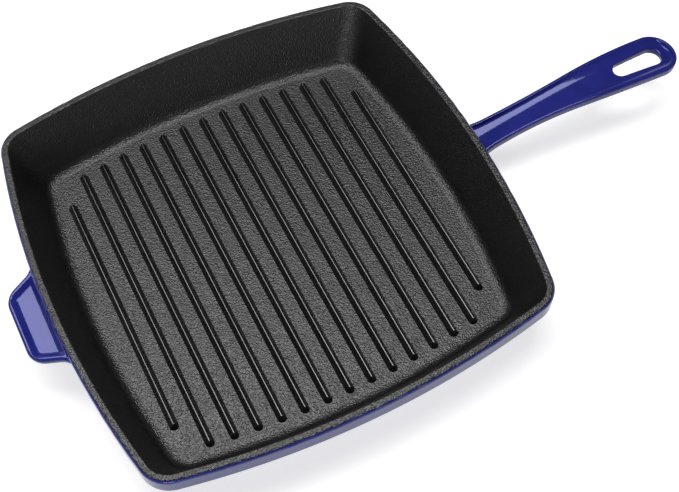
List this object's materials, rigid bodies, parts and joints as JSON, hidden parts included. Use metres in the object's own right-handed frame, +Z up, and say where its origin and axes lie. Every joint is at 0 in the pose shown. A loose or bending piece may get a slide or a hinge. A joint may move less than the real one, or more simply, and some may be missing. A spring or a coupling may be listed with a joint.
{
  "type": "cast iron skillet",
  "caption": "Square ribbed skillet in enamelled cast iron, with a long handle that has a hanging slot and a short helper handle.",
  "frame": {"origin": "centre of the flat base, on the surface the pan stands on", "axes": "+X along the long handle, +Z up out of the pan"},
  "size_m": [0.4815, 0.3, 0.0455],
  "materials": {
    "bare_iron": "cast, under the enamel",
    "black_enamel": "matt vitreous enamel with a fine grain",
    "blue_enamel": "glossy vitreous enamel",
    "blue_enamelled_iron": "cast iron with glossy vitreous enamel",
    "black_enamelled_iron": "cast iron with matt vitreous enamel"
  },
  "bodies": {
    "root": {"floor_iron": "bare_iron", "wall_iron": "bare_iron", "rim_iron": "bare_iron", "interior_enamel": "black_enamel", "exterior_enamel": "blue_enamel", "base_enamel": "blue_enamel", "long_handle": "blue_enamelled_iron", "helper_handle": "blue_enamelled_iron", "grill_ridge_01": "black_enamelled_iron", "grill_ridge_02": "black_enamelled_iron", "grill_ridge_03": "black_enamelled_iron", "grill_ridge_04": "black_enamelled_iron", "grill_ridge_05": "black_enamelled_iron", "grill_ridge_06": "black_enamelled_iron", "grill_ridge_07": "black_enamelled_iron", "grill_ridge_08": "black_enamelled_iron", "grill_ridge_09": "black_enamelled_iron", "grill_ridge_10": "black_enamelled_iron", "grill_ridge_11": "black_enamelled_iron", "grill_ridge_12": "black_enamelled_iron", "grill_ridge_13": "black_enamelled_iron", "grill_ridge_14": "black_enamelled_iron", "grill_ridge_15": "black_enamelled_iron"}
  },
  "joints": []
}
